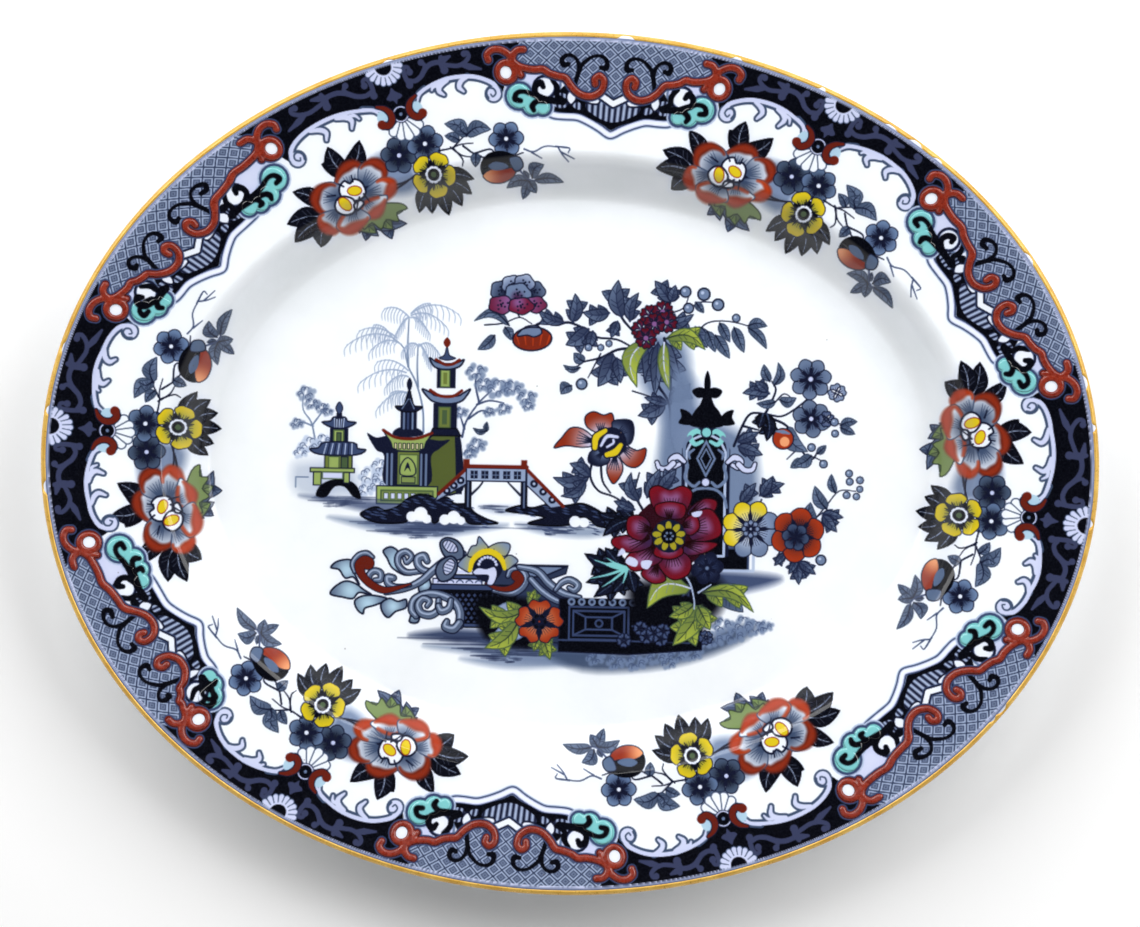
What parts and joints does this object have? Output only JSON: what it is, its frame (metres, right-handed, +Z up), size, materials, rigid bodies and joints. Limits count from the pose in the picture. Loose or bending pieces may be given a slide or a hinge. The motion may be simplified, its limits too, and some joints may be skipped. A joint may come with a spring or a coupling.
{
  "type": "oval serving platter",
  "caption": "Oval glazed earthenware serving platter with a wide rim, a sunken well, a foot ring, a gilt lip line and raised enamel scrolls and shells on its border.",
  "frame": {"origin": "on the plane that the foot ring rests on, under the middle of the platter", "axes": "+X along the long axis of the oval, +Z up out of the well"},
  "size_m": [0.51, 0.416, 0.0448],
  "materials": {
    "glaze": "clear gloss glaze over a dark blue transfer print",
    "gilding": "fired ochre-gold line, satin, worn through in places",
    "red_enamel": "raised brick-red enamel, soft gloss",
    "turquoise_enamel": "raised turquoise enamel, gloss"
  },
  "bodies": {
    "root": {"platter_body": "glaze", "gilt_edge_line": "gilding", "red_scroll_1_left": "red_enamel", "turquoise_shell_1_left": "turquoise_enamel", "red_scroll_1_right": "red_enamel", "turquoise_shell_1_right": "turquoise_enamel", "red_scroll_2_left": "red_enamel", "turquoise_shell_2_left": "turquoise_enamel", "red_scroll_2_right": "red_enamel", "turquoise_shell_2_right": "turquoise_enamel", "red_scroll_3_left": "red_enamel", "turquoise_shell_3_left": "turquoise_enamel", "red_scroll_3_right": "red_enamel", "turquoise_shell_3_right": "turquoise_enamel", "red_scroll_4_left": "red_enamel", "turquoise_shell_4_left": "turquoise_enamel", "red_scroll_4_right": "red_enamel", "turquoise_shell_4_right": "turquoise_enamel", "red_scroll_5_left": "red_enamel", "turquoise_shell_5_left": "turquoise_enamel", "red_scroll_5_right": "red_enamel", "turquoise_shell_5_right": "turquoise_enamel", "red_scroll_6_left": "red_enamel", "turquoise_shell_6_left": "turquoise_enamel", "red_scroll_6_right": "red_enamel", "turquoise_shell_6_right": "turquoise_enamel"}
  },
  "joints": []
}
